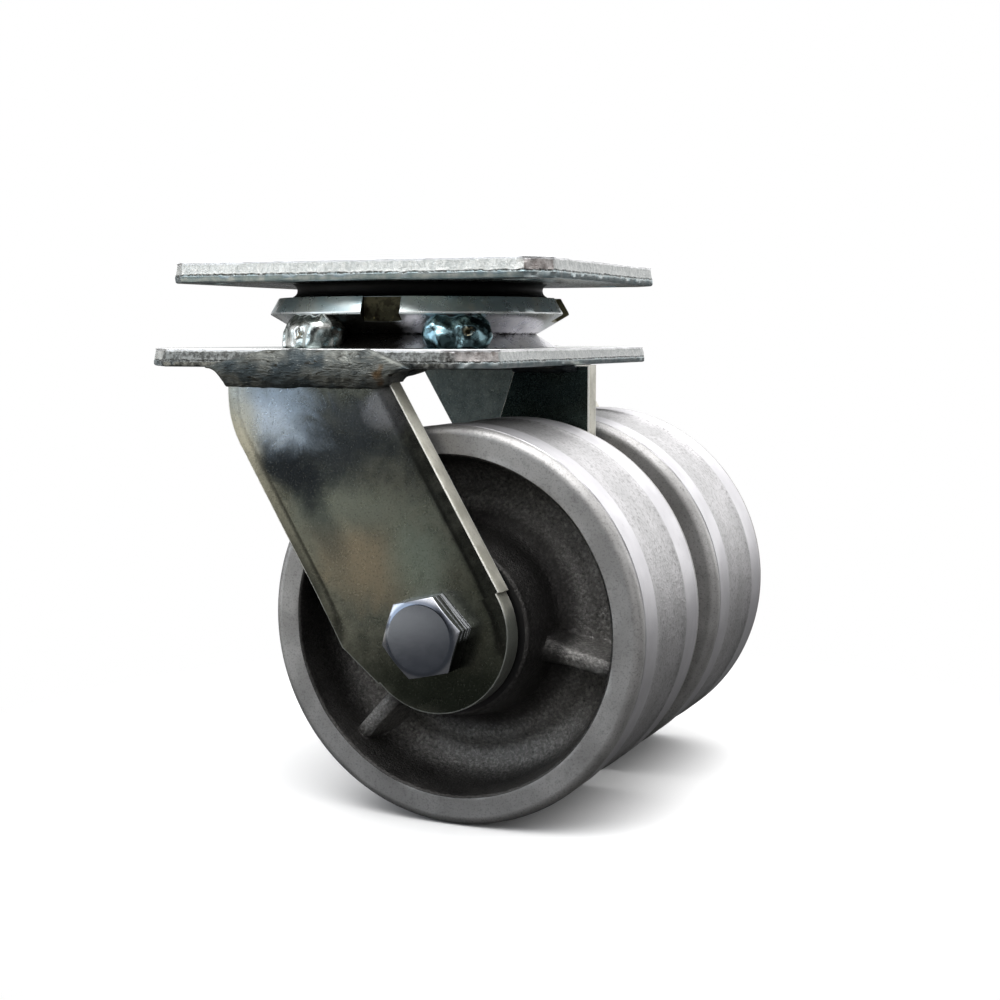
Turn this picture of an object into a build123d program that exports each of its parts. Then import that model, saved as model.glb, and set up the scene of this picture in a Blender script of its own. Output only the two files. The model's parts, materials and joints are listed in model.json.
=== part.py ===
from build123d import *
import math
import os

# Twin-wheel swivel caster. Millimetres, +Z up. The origin is on the swivel axis, in the
# upper face of the top plate. +X points the way the axle trails, Y runs along the axle.

# Top plate
TOP_LENGTH = 114.3
TOP_WIDTH = 90.0
TOP_THICKNESS = 5.6
TOP_CORNER_CUT = 6.2
BOLT_SPACING_X = 92.1
BOLT_SPACING_Y = 66.7
BOLT_HOLE_R = 5.16

# Swivel bearing: hub under the top plate, one row of balls, race ring on the fork
NECK_R = 35.0
NECK_HEIGHT = 3.5
NECK_FLARE = 1.3
HUB_BORE_R = 17.0
LIP_GAP = 0.45
BALL_R = 4.7625
BALL_PITCH_R = 28.5
BALL_CLEARANCE = 0.15
BALL_SPACING = 0.3
RACE_LAND = 1.5
RING_TOP_R = 40.2
RING_EDGE_R = 42.6
RING_FOOT_R = 33.6
RING_UPPER_BEVEL = 4.4
RING_LOWER_BEVEL = 5.5
RING_EDGE_FLAT = 0.4
NOTCH_COUNT = 4
NOTCH_WIDTH = 10.4
NOTCH_FLOOR_R = 38.8
NOTCH_ANGLE = -78.3
SEAT_FOOT_R = 39.0
SEAT_HEIGHT = 3.8
SEAM_CHAMFER = 0.5
HUB_FLOOR_GAP = 1.0

# Fork: base plate and three legs
BASE_LENGTH = 102.4
BASE_WIDTH = 131.4
BASE_THICKNESS = 4.76
BASE_OFFSET = -1.85
BASE_CORNER_CUT = 10.5
LEG_THICKNESS = 6.35
LEG_PROUD = 0.8
LEG_SHOULDER_X = -22.7
LEG_SHOULDER_HEIGHT = 14.0
LEG_SHOULDER_R = 25.0
LEG_TOP_RIGHT = 22.3
LEG_END_R = 20.2
LEG_KNEE = (-25.4, -5.6)
LEG_TOE = (-15.0, -14.2)
LEG_HEEL = (17.8, 11.2)
MID_LEG_THICKNESS = 6.35
MID_LEG_TOP_LEFT = 31.0
MID_LEG_END_R = 16.9
MID_LEG_TAPER = 36.0

# Axle line
OVERALL_HEIGHT = 143.6
TRAIL = 35.8
AXLE_R = 6.35
AXLE_CLEARANCE = 0.07
AXLE_HOLE_CLEARANCE = 0.2
HEX_ACROSS_FLATS = 18.8
HEX_TURN = 12.9
HEX_FACE_R = 8.4
HEAD_HEIGHT = 7.6
HEX_CHAMFER_RISE = 1.0
NUT_HEIGHT = 9.2
NUT_COLLAR_R = 8.6
NUT_COLLAR_HEIGHT = 3.4
NUT_COLLAR_CHAMFER = 1.1
BOLT_END_LENGTH = 2.4
BOLT_END_CHAMFER = 1.2
BUSHING_R = 9.525
WASHER_R = 17.5
WASHER_PLAY = 0.3

# Wheels
WHEEL_R = 50.8
RIM_SIDE_GAP = 3.1
RIM_THICKNESS = 7.6
WHEEL_OUTSET = 0.8
RIM_CORNER_R = 2.2
LAND_WIDTH = 11.2
BAND_DEPTH = 0.45
BAND_STEP = 0.5
WALL_DEPTH = 5.5
WALL_DRAFT = 0.8
WEB_DEPTH = 17.3
COVE_REACH = 8.6
COVE_LEAN = 0.74
WEB_RISE = 2.7
HUB_ROOT_R = 25.6
HUB_END_R = 22.4
HUB_SIDE_GAP = 1.3
HUB_EDGE_CHAMFER = 0.8
BEARING_BORE_R = 15.08
RIB_COUNT = 3
RIB_ANGLE = -12.0
RIB_DEPTH = 5.6
RIB_TOP_WIDTH = 3.4
RIB_ROOT_WIDTH = 6.0
RIB_SINK = 1.0
ROLLER_COUNT = 10
ROLLER_CLEARANCE = 0.08
CAGE_WALL = 2.2
CAGE_RIM = 2.2
CAGE_END_GAP = 0.6
POCKET_CLEARANCE = 0.15

# Welds
RACE_WELD_ANGLES = (-109.0, -50.0, 78.0, 132.0)
RACE_WELD_R = 8.8
RACE_WELD_REACH = 46.6
RACE_WELD_TOP_GAP = 0.5
RACE_WELD_LEAN = 0.6
RACE_WELD_SETBACK = 2.0
LEG_WELD_DEPTH = 5.2
LEG_WELD_BULGE = 1.7
LEG_WELD_SKIN = 0.2
LEG_WELD_COVE = 5.6
LEG_WELD_TAPER = 12.0
INNER_WELD_SIZE = 3.4
INNER_WELD_RUN_IN = 1.5
INNER_WELD_RUN_OUT = 9.0
MID_WELD_LEG = 2.4
MID_WELD_OVERRUN = 0.6

# Heights worked out from the sizes above
plate_under = -TOP_THICKNESS
lip_z = plate_under - NECK_HEIGHT
ring_top = lip_z - LIP_GAP
ring_edge = ring_top - RING_UPPER_BEVEL
ring_foot = ring_edge - RING_LOWER_BEVEL
base_top = ring_foot - SEAT_HEIGHT
base_under = base_top - BASE_THICKNESS
ball_z = ring_edge
axle_z = WHEEL_R - OVERALL_HEIGHT
race_bore_r = BALL_PITCH_R + RACE_LAND
hub_r = BALL_PITCH_R - RACE_LAND

# Places along the axle
leg_outer = BASE_WIDTH / 2 + LEG_PROUD
leg_inner = leg_outer - LEG_THICKNESS
mid_face = MID_LEG_THICKNESS / 2
wheel_mid = (leg_inner + mid_face) / 2 + WHEEL_OUTSET
hub_length = 2 * (leg_inner - wheel_mid - HUB_SIDE_GAP)
rim_width = 2 * (leg_inner - wheel_mid - RIM_SIDE_GAP)
cage_length = hub_length - 2 * CAGE_END_GAP
roller_length = cage_length - 2 * CAGE_RIM
roller_r = (BEARING_BORE_R - BUSHING_R) / 2 - ROLLER_CLEARANCE
roller_pitch_r = (BEARING_BORE_R + BUSHING_R) / 2
bushing_bore_r = AXLE_R + AXLE_CLEARANCE
hole_r = AXLE_R + AXLE_HOLE_CLEARANCE
rim_inner_r = WHEEL_R - RIM_THICKNESS
web_outer_r = rim_inner_r - COVE_REACH


def turned(points):
    """Solid of revolution about Z from (radius, height) corner points."""
    profile = Plane.XZ * make_face(Polyline(*points, close=True))
    return revolve(profile, Axis.Z)


def on_axle(shape, y):
    """Lays a shape built along Z onto the axle line, its +Z end facing -Y."""
    return Pos(TRAIL, y, axle_z) * Rot(90, 0, 0) * shape


def upright_slab(face, y_low, y_high):
    """Extrudes a face drawn in X and Z between two places along Y."""
    return extrude(Plane.XZ.offset(-y_high) * face, y_high - y_low)


def around_z(shape, angle):
    return Rot(0, 0, angle) * shape


def clipped_plate(length, width, thickness, cut):
    outline = chamfer(Rectangle(length, width).vertices(), cut)
    return extrude(outline, thickness)


def top_plate():
    plate = Pos(0, 0, plate_under) * clipped_plate(TOP_LENGTH, TOP_WIDTH, TOP_THICKNESS, TOP_CORNER_CUT)
    hole = Cylinder(BOLT_HOLE_R, 3 * TOP_THICKNESS)
    return plate - GridLocations(BOLT_SPACING_X, BOLT_SPACING_Y, 2, 2) * hole


def ball_track():
    """Round groove that the balls run in, cut into the hub and the race ring."""
    return Pos(0, 0, ball_z) * Torus(BALL_PITCH_R, BALL_R + BALL_CLEARANCE)


def swivel_hub():
    """Neck under the top plate with a dust lip over the ring and the inner ball track."""
    waist = plate_under - NECK_HEIGHT / 2
    flare_r = NECK_R + NECK_FLARE
    side = ThreePointArc((flare_r, plate_under), (NECK_R, waist), (flare_r, lip_z))
    hub_foot = base_top + HUB_FLOOR_GAP
    rest = Polyline(
        (flare_r, lip_z), (hub_r, lip_z), (hub_r, hub_foot), (HUB_BORE_R, hub_foot),
        (HUB_BORE_R, plate_under), (flare_r, plate_under),
    )
    profile = Plane.XZ * make_face([side, rest])
    return revolve(profile, Axis.Z) - ball_track()


def swivel_balls():
    half_step = math.asin((BALL_R + BALL_SPACING / 2) / BALL_PITCH_R)
    count = math.floor(math.pi / half_step)
    ball = Pos(BALL_PITCH_R, 0, ball_z) * Sphere(BALL_R)
    return Compound(children=[around_z(ball, 360 * k / count) for k in range(count)])


def race_ring():
    """Outer race with a sharp bevelled rim and four locking notches."""
    ring = turned([
        (race_bore_r, ring_top), (RING_TOP_R, ring_top),
        (RING_EDGE_R, ring_edge + RING_EDGE_FLAT / 2), (RING_EDGE_R, ring_edge - RING_EDGE_FLAT / 2),
        (RING_FOOT_R, ring_foot), (race_bore_r, ring_foot),
    ])
    depth = 2 * (RING_EDGE_R - NOTCH_FLOOR_R)
    height = 2 * (RING_UPPER_BEVEL + RING_LOWER_BEVEL)
    notch = Pos(NOTCH_FLOOR_R + depth / 2, 0, ring_edge) * Box(depth, NOTCH_WIDTH, height)
    for k in range(NOTCH_COUNT):
        ring -= around_z(notch, NOTCH_ANGLE + 360 * k / NOTCH_COUNT)
    return ring - ball_track()


def race_seat():
    """Flared ring that carries the race on the base plate."""
    return turned([
        (race_bore_r, ring_foot), (RING_FOOT_R - SEAM_CHAMFER, ring_foot),
        (RING_FOOT_R, ring_foot - SEAM_CHAMFER), (SEAT_FOOT_R, base_top), (race_bore_r, base_top),
    ])


def base_plate():
    plate = clipped_plate(BASE_LENGTH, BASE_WIDTH, BASE_THICKNESS, BASE_CORNER_CUT)
    return Pos(BASE_OFFSET, 0, base_under) * plate


def race_weld(angle, carriers):
    """Rounded weld lump between the race ring and the base plate."""
    top = ring_edge - RACE_WELD_TOP_GAP
    crown = (RACE_WELD_REACH - RACE_WELD_LEAN, (base_top + top) / 2)
    skin = ThreePointArc((RACE_WELD_REACH, base_top), crown, (RING_EDGE_R, top))
    rest = Polyline((RING_EDGE_R, top), (race_bore_r, top), (race_bore_r, base_top), (RACE_WELD_REACH, base_top))
    band = revolve(Plane.XZ * make_face([skin, rest]), Axis.Z)
    plan = Pos(RING_EDGE_R - RACE_WELD_SETBACK, 0, ring_edge) * Cylinder(RACE_WELD_R, 4 * RING_LOWER_BEVEL)
    lump = around_z(band & plan, angle)
    for carrier in carriers:
        lump -= carrier
    return biggest(lump)


def biggest(shape):
    return max(shape.solids(), key=lambda solid: solid.volume)


def leg_face(shoulder):
    """Outer leg: a slanted bar with a round end at the axle, and one upper corner cut if asked."""
    knee, toe, heel = [(TRAIL + x, axle_z + z) for x, z in (LEG_KNEE, LEG_TOE, LEG_HEEL)]
    bend = (LEG_SHOULDER_X, base_under - LEG_SHOULDER_HEIGHT)
    start = [(LEG_SHOULDER_X, base_under), bend] if shoulder else [(straight_leg_left(base_under), base_under)]
    outline = Polyline(*start, knee, toe, (TRAIL, axle_z), heel, (LEG_TOP_RIGHT, base_under), close=True)
    bar = make_face(outline)
    if shoulder:
        corner = bar.vertices().sort_by_distance(Vector(*bend))[0]
        bar = fillet(corner, LEG_SHOULDER_R)
    return bar + Pos(TRAIL, axle_z) * Circle(LEG_END_R) - Pos(TRAIL, axle_z) * Circle(hole_r)


def outer_leg(side):
    low, high = sorted((side * leg_inner, side * leg_outer))
    return upright_slab(leg_face(shoulder=side < 0), low, high)


def centre_leg():
    """Middle leg between the wheels, narrower at its top and round at the axle."""
    left = TRAIL - MID_LEG_END_R
    right = TRAIL + MID_LEG_END_R
    bar = make_face(Polyline(
        (MID_LEG_TOP_LEFT, base_under), (left, base_under - MID_LEG_TAPER), (left, axle_z),
        (right, axle_z), (right, base_under), close=True,
    ))
    face = bar + Pos(TRAIL, axle_z) * Circle(MID_LEG_END_R) - Pos(TRAIL, axle_z) * Circle(hole_r)
    return upright_slab(face, -mid_face, mid_face)


def straight_leg_left(height):
    """Where the slanted left edge of an uncut outer leg lies at a height."""
    knee = (TRAIL + LEG_KNEE[0], axle_z + LEG_KNEE[1])
    bend_z = base_under - LEG_SHOULDER_HEIGHT
    slope = (knee[0] - LEG_SHOULDER_X) / (bend_z - knee[1])
    return LEG_SHOULDER_X - slope * (height - bend_z)


def leg_weld(side, carriers):
    """Weld smeared over the plate's edge and the top of an outer leg, run out in a cove at each end."""
    foot = base_under - LEG_WELD_DEPTH
    left = LEG_SHOULDER_X if side < 0 else straight_leg_left(foot)
    right = LEG_TOP_RIGHT + LEG_WELD_DEPTH / 2
    outline = make_face([
        RadiusArc((left - LEG_WELD_COVE, base_under), (left, foot), LEG_WELD_COVE),
        Line((left, foot), (right, foot)),
        RadiusArc((right, foot), (right + LEG_WELD_COVE, base_under), LEG_WELD_COVE),
        Polyline((right + LEG_WELD_COVE, base_under), (right - LEG_WELD_TAPER / 2, base_top - LEG_WELD_SKIN),
                 (left + LEG_WELD_TAPER, base_top - LEG_WELD_SKIN), (left - LEG_WELD_COVE, base_under)),
    ])
    plate_edge = BASE_WIDTH / 2
    top = (side * (plate_edge + LEG_WELD_SKIN), base_top)
    crown = (side * (leg_outer + LEG_WELD_BULGE), base_under)
    bottom = (side * (leg_outer + LEG_WELD_SKIN), foot)
    section = make_face([
        ThreePointArc(top, crown, bottom),
        Polyline(bottom, (side * leg_inner, foot), (side * leg_inner, base_top), top),
    ])
    reach = BASE_LENGTH / 2
    body = extrude(Plane.YZ.offset(-reach) * section, 2 * reach)
    low, high = sorted((side * leg_inner, side * (leg_outer + 2 * LEG_WELD_BULGE)))
    bead = body & upright_slab(outline, low, high)
    run_in = left - INNER_WELD_RUN_IN
    run_out = LEG_TOP_RIGHT + INNER_WELD_RUN_OUT
    bead += corner_fillet(side * leg_inner, -side, INNER_WELD_SIZE, run_in, run_out)
    for carrier in carriers:
        bead -= carrier
    return biggest(bead)


def corner_fillet(face, side, size, left, right):
    """Triangular bead along X under the base plate, in the corner with an upright face."""
    corner = make_face(Polyline(
        (face, base_under), (face + side * size, base_under), (face, base_under - size), close=True,
    ))
    return extrude(Plane.YZ.offset(left) * corner, right - left)


def centre_weld(side, carriers):
    """Fillet bead in the corner between the middle leg and the base plate."""
    left = MID_LEG_TOP_LEFT - MID_WELD_OVERRUN
    right = BASE_OFFSET + BASE_LENGTH / 2
    bead = corner_fillet(side * mid_face, side, MID_WELD_LEG, left, right)
    for carrier in carriers:
        bead -= carrier
    return biggest(bead)


def hex_prism(height):
    radius = HEX_ACROSS_FLATS / math.sqrt(3)
    return extrude(RegularPolygon(radius, 6, rotation=HEX_TURN), height)


def hex_chamfer(height):
    """Envelope that turns the corners off the outer end of a hexagon."""
    slope = HEX_CHAMFER_RISE / (HEX_ACROSS_FLATS / math.sqrt(3) - HEX_FACE_R)
    drop = (HEX_ACROSS_FLATS - HEX_FACE_R) * slope
    return turned([
        (0, 0), (HEX_ACROSS_FLATS, 0), (HEX_ACROSS_FLATS, height - drop), (HEX_FACE_R, height), (0, height),
    ])


def axle_bolt():
    """Hexagon bolt through all three legs, with its head on the near leg."""
    head = hex_prism(HEAD_HEIGHT) & hex_chamfer(HEAD_HEIGHT)
    length = 2 * leg_outer + NUT_HEIGHT + NUT_COLLAR_HEIGHT + BOLT_END_LENGTH
    tip_r = AXLE_R - BOLT_END_CHAMFER
    shank = turned([
        (0, 0), (AXLE_R, 0), (AXLE_R, BOLT_END_CHAMFER - length), (tip_r, -length), (0, -length),
    ])
    return on_axle(head + shank, -leg_outer)


def lock_nut():
    """Hexagon nut with a round locking collar on its outer end."""
    body = hex_prism(NUT_HEIGHT) & hex_chamfer(NUT_HEIGHT)
    full = NUT_HEIGHT + NUT_COLLAR_HEIGHT
    collar = turned([
        (0, 0), (NUT_COLLAR_R, 0), (NUT_COLLAR_R, full - NUT_COLLAR_CHAMFER),
        (NUT_COLLAR_R - NUT_COLLAR_CHAMFER, full), (0, full),
    ])
    nut = body + collar - Cylinder(bushing_bore_r, 4 * full)
    return Pos(TRAIL, leg_outer, axle_z) * Rot(-90, 0, 0) * nut


def tube(outer_r, inner_r, length):
    return Cylinder(outer_r, length) - Cylinder(inner_r, 2 * length)


def bushing(side):
    middle = (leg_inner + mid_face) / 2
    return on_axle(tube(BUSHING_R, bushing_bore_r, leg_inner - mid_face), side * middle)


def thrust_washer(side, seat):
    """Washer lying against a leg; seat is +1 on the outer leg and -1 on the middle leg."""
    hub_end = wheel_mid + seat * hub_length / 2
    face = leg_inner if seat > 0 else mid_face
    thickness = abs(face - hub_end) - WASHER_PLAY
    middle = face - seat * thickness / 2
    return on_axle(tube(WASHER_R, BUSHING_R + AXLE_CLEARANCE, thickness), side * middle)


def wheel_half_profile():
    """Outline of half the casting, from its middle plane to the hub end, as (radius, height)."""
    half = rim_width / 2
    band_edge = half - LAND_WIDTH - RIM_CORNER_R
    wall_r = rim_inner_r - WALL_DRAFT
    hub_end = hub_length / 2
    corner_start = (WHEEL_R, half - RIM_CORNER_R)
    corner_end = (WHEEL_R - RIM_CORNER_R, half)
    inset = RIM_CORNER_R * (1 - math.sqrt(0.5))
    corner_mid = (WHEEL_R - inset, half - inset)
    cove_start = (wall_r, half - WALL_DEPTH)
    cove_end = (web_outer_r, half - WEB_DEPTH)
    cove_mid = (
        cove_end[0] + COVE_LEAN * (cove_start[0] - cove_end[0]),
        cove_end[1] + (1 - COVE_LEAN) * (cove_start[1] - cove_end[1]),
    )
    return [
        Polyline((BEARING_BORE_R, 0), (WHEEL_R - BAND_DEPTH, 0), (WHEEL_R - BAND_DEPTH, band_edge - BAND_STEP),
                 (WHEEL_R, band_edge), corner_start),
        ThreePointArc(corner_start, corner_mid, corner_end),
        Polyline(corner_end, (rim_inner_r, half), cove_start),
        ThreePointArc(cove_start, cove_mid, cove_end),
        Polyline(cove_end, (HUB_ROOT_R, half - WEB_DEPTH + WEB_RISE), (HUB_END_R, hub_end - HUB_EDGE_CHAMFER),
                 (HUB_END_R - HUB_EDGE_CHAMFER, hub_end), (BEARING_BORE_R, hub_end), (BEARING_BORE_R, 0)),
    ]


def rib():
    """One tapered rib on the upper side of the web, running from the hub into the rim."""
    half = rim_width / 2
    top = half - RIB_DEPTH
    root = half - WEB_DEPTH - RIB_SINK
    start = (HUB_END_R + BEARING_BORE_R) / 2
    end = rim_inner_r + RIB_SINK
    section = make_face(Polyline(
        (-RIB_ROOT_WIDTH / 2, root), (RIB_ROOT_WIDTH / 2, root), (RIB_TOP_WIDTH / 2, top),
        (-RIB_TOP_WIDTH / 2, top), close=True,
    ))
    return extrude(Plane.YZ.offset(start) * section, end - start)


def wheel():
    """Cast wheel: rim with two machined lands, dished web with six ribs, and a long hub."""
    half = revolve(Plane.XZ * make_face(wheel_half_profile()), Axis.Z)
    for k in range(RIB_COUNT):
        half += around_z(rib(), RIB_ANGLE + 360 * k / RIB_COUNT)
    casting = half + mirror(half, Plane.XY)
    inside_rim = Cylinder(rim_inner_r - WALL_DRAFT, 2 * rim_width)
    inside_web = Cylinder(HUB_ROOT_R, 2 * rim_width)
    return {
        "rim": biggest(casting - inside_rim),
        "web": biggest((casting & inside_rim) - inside_web),
        "hub": biggest(casting & inside_web),
    }


def roller_circle(radius, length):
    roller = Pos(roller_pitch_r, 0, 0) * Cylinder(radius, length)
    return [around_z(roller, 360 * k / ROLLER_COUNT) for k in range(ROLLER_COUNT)]


def roller_cage():
    cage = tube(roller_pitch_r + CAGE_WALL / 2, roller_pitch_r - CAGE_WALL / 2, cage_length)
    for pocket in roller_circle(roller_r + POCKET_CLEARANCE, roller_length + 2 * POCKET_CLEARANCE):
        cage -= pocket
    return cage


def caster():
    """All nodes of the caster by name."""
    nodes = {
        "top_plate": top_plate(),
        "swivel_hub": swivel_hub(),
        "swivel_balls": swivel_balls(),
        "race_ring": race_ring(),
        "race_seat": race_seat(),
        "base_plate": base_plate(),
        "near_leg": outer_leg(-1),
        "far_leg": outer_leg(1),
        "centre_leg": centre_leg(),
        "axle_bolt": axle_bolt(),
        "lock_nut": lock_nut(),
    }
    ring_seats = [nodes[name] for name in ("race_ring", "race_seat", "base_plate")]
    for number, angle in enumerate(RACE_WELD_ANGLES, 1):
        nodes[f"race_weld_{number}"] = race_weld(angle, ring_seats)
    casting = wheel()
    cage = roller_cage()
    rollers = Compound(children=roller_circle(roller_r, roller_length))
    for name, side in (("near", -1), ("far", 1)):
        nodes[f"{name}_leg_weld"] = leg_weld(side, [nodes["base_plate"], nodes[f"{name}_leg"]])
        nodes[f"{name}_centre_weld"] = centre_weld(side, [nodes["base_plate"], nodes["centre_leg"]])
        nodes[f"{name}_bushing"] = bushing(side)
        nodes[f"{name}_outer_washer"] = thrust_washer(side, 1)
        nodes[f"{name}_inner_washer"] = thrust_washer(side, -1)
        for section, shape in casting.items():
            nodes[f"{name}_{section}"] = on_axle(shape, side * wheel_mid)
        nodes[f"{name}_cage"] = on_axle(cage, side * wheel_mid)
        nodes[f"{name}_rollers"] = on_axle(rollers, side * wheel_mid)
    return nodes


os.makedirs("parts", exist_ok=True)
for node_name, node_shape in caster().items():
    export_step(node_shape, f"parts/{node_name}.step")
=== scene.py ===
import json
import math

import bmesh
import bpy
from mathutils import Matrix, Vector, noise


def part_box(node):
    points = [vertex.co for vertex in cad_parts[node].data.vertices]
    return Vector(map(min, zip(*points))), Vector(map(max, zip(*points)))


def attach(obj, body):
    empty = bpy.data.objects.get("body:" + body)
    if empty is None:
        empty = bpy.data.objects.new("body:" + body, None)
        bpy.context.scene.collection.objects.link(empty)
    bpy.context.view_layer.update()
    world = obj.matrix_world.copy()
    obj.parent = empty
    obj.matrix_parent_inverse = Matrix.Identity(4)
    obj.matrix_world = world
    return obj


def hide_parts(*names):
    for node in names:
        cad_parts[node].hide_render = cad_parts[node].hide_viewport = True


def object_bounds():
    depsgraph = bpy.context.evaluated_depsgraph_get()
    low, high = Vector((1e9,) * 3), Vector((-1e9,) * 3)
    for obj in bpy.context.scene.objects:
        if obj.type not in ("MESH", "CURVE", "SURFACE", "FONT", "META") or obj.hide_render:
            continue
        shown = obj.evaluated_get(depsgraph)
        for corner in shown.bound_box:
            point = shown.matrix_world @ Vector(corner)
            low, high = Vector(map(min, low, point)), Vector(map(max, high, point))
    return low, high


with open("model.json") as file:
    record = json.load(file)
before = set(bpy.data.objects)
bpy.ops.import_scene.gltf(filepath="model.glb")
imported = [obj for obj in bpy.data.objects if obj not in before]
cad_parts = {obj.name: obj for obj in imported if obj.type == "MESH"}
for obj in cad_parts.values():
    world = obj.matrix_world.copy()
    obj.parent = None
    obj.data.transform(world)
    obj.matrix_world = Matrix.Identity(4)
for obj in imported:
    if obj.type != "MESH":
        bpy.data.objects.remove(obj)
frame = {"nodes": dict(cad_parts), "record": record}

cad_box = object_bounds()
MM = 0.001

# Small forms of the metal, in millimetres and degrees.
RING_LOWER_BEVEL = 5.5
NOTCH_ANGLE = -78.3
NOTCH_HALF_TURN = 9.5
NOTCH_FLOOR = (37.0, 40.0)
OUTLINE_STEP = 0.9
HOLE_STEP = 5
HOLE_CUT = [(0, 0.3), (0.06, 0), (0.94, 0), (1, 0.3)]
CRATER_OUT = 46.2
CRATER_ASIDE = 1.5
CRATER_DEPTH = 0.8
RUN_OUT_LENGTH = 10
ROLL_FADE_START = 6
ROLL_FADE_LENGTH = 14


class Level:
    """One output in a material's graph. Sums and products of it add the nodes that work them out."""

    def __init__(self, tree, socket):
        self.tree = tree
        self.socket = socket

    def math(self, operation, *others):
        node = self.tree.nodes.new("ShaderNodeMath")
        node.operation = operation
        for slot, value in zip(node.inputs, (self, *others)):
            feed(self.tree, slot, value)
        return Level(self.tree, node.outputs[0])

    def __add__(self, other):
        return self.math("ADD", other)

    __radd__ = __add__

    def __sub__(self, other):
        return self.math("SUBTRACT", other)

    def __rsub__(self, other):
        return self * -1.0 + other

    def __mul__(self, other):
        return self.math("MULTIPLY", other)

    __rmul__ = __mul__

    def __truediv__(self, other):
        return self.math("DIVIDE", other)

    def __pow__(self, other):
        return self.math("POWER", other)

    def ramp(self, low, high):
        """0 below low and 1 above high, with a soft step between them."""
        node = self.tree.nodes.new("ShaderNodeMapRange")
        node.interpolation_type = "SMOOTHSTEP"
        for slot, value in zip(node.inputs, (self, low, high)):
            feed(self.tree, slot, value)
        return Level(self.tree, node.outputs[0])


def feed(tree, slot, value):
    if isinstance(value, Level):
        tree.links.new(value.socket, slot)
    elif isinstance(value, tuple) and slot.type == "RGBA":
        slot.default_value = (*value, 1.0)
    else:
        slot.default_value = value


class Graph:
    """The nodes of one material or world."""

    def __init__(self, tree):
        self.tree = tree

    def add(self, kind, output=0, settings=None, **inputs):
        node = self.tree.nodes.new(kind)
        for key, value in (settings or {}).items():
            setattr(node, key, value)
        for key, value in inputs.items():
            feed(self.tree, node.inputs[key.replace("_", " ")], value)
        return Level(self.tree, node.outputs[output])

    def place(self):
        return self.add("ShaderNodeTexCoord", "Object")

    def attribute(self, name):
        return self.add("ShaderNodeAttribute", "Fac", {"attribute_name": name})

    def axes(self, vector):
        node = self.tree.nodes.new("ShaderNodeSeparateXYZ")
        feed(self.tree, node.inputs[0], vector)
        return [Level(self.tree, socket) for socket in node.outputs]

    def vector(self, operation, one, other, output=0):
        node = self.tree.nodes.new("ShaderNodeVectorMath")
        node.operation = operation
        for slot, value in zip(node.inputs, (one, other)):
            feed(self.tree, slot, value)
        return Level(self.tree, node.outputs[output])

    def mottle(self, place, size, detail=3.0, roughness=0.5, distortion=0.0):
        """Cloudy pattern from 0 to 1 whose spots are about that size in millimetres."""
        return self.add("ShaderNodeTexNoise", Vector=place, Scale=1.0 / (size * MM),
                        Detail=detail, Roughness=roughness, Distortion=distortion)

    def blend(self, factor, first, second):
        node = self.tree.nodes.new("ShaderNodeMix")
        node.data_type = "RGBA"
        for index, value in ((0, factor), (6, first), (7, second)):
            feed(self.tree, node.inputs[index], value)
        return Level(self.tree, node.outputs[2])

    def relief(self, height, depth):
        """Bumps whose full height is depth, in millimetres."""
        return self.add("ShaderNodeBump", Height=height, Distance=depth * MM, Strength=1.0)

    def from_axle(self, place):
        """Distance from the wheels' axis."""
        along, _, up = self.axes(place)
        return ((along - axle.x) ** 2.0 + (up - axle.z) ** 2.0) ** 0.5


class Finish(Graph):
    """A material: its graph and its surface shader."""

    def __init__(self, name, **plain):
        self.material = bpy.data.materials.new(name)
        self.material.use_nodes = True
        super().__init__(self.material.node_tree)
        self.surface = self.tree.nodes["Principled BSDF"]
        self.set(**plain)

    def set(self, **inputs):
        for key, value in inputs.items():
            feed(self.tree, self.surface.inputs[key.replace("_", " ")], value)


def zinc_sheet(name, shade):
    """Mill steel under zinc: slate grey with blue, olive and brown clouds, and fine grain."""
    finish = Finish(name, Metallic=1.0)
    place = finish.place()
    clouds = finish.mottle(place, 24, 2, 0.5, 0.4)
    other = finish.mottle(finish.vector("ADD", place, (0.3, 0.1, 0.2)), 17, 2, 0.5, 0.4)
    small = finish.mottle(place, 5, 4, 0.6)
    grain = finish.mottle(place, 0.55, 3, 0.7)
    cool = finish.blend(small.ramp(0.35, 0.7), (0.24, 0.28, 0.30), (0.31, 0.35, 0.37))
    warm = finish.blend(small.ramp(0.3, 0.7), (0.24, 0.235, 0.19), (0.31, 0.305, 0.26))
    brown = finish.blend(small.ramp(0.3, 0.7), (0.25, 0.22, 0.18), (0.32, 0.29, 0.25))
    colour = finish.blend(clouds.ramp(0.30, 0.70), cool, warm)
    colour = finish.blend(other.ramp(0.50, 0.85), colour, brown)
    colour = finish.blend(grain.ramp(0.45, 0.8) * 0.45, colour, (0.17, 0.18, 0.17))
    # shade multiplies the whole colour; below one it paints shade.
    finish.set(
        Base_Color=finish.vector("MULTIPLY", colour, shade),
        Roughness=0.17 + small * 0.08 + grain * 0.12,
        Normal=finish.relief(grain + small * 1.6, 0.034),
    )
    return finish.material


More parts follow.
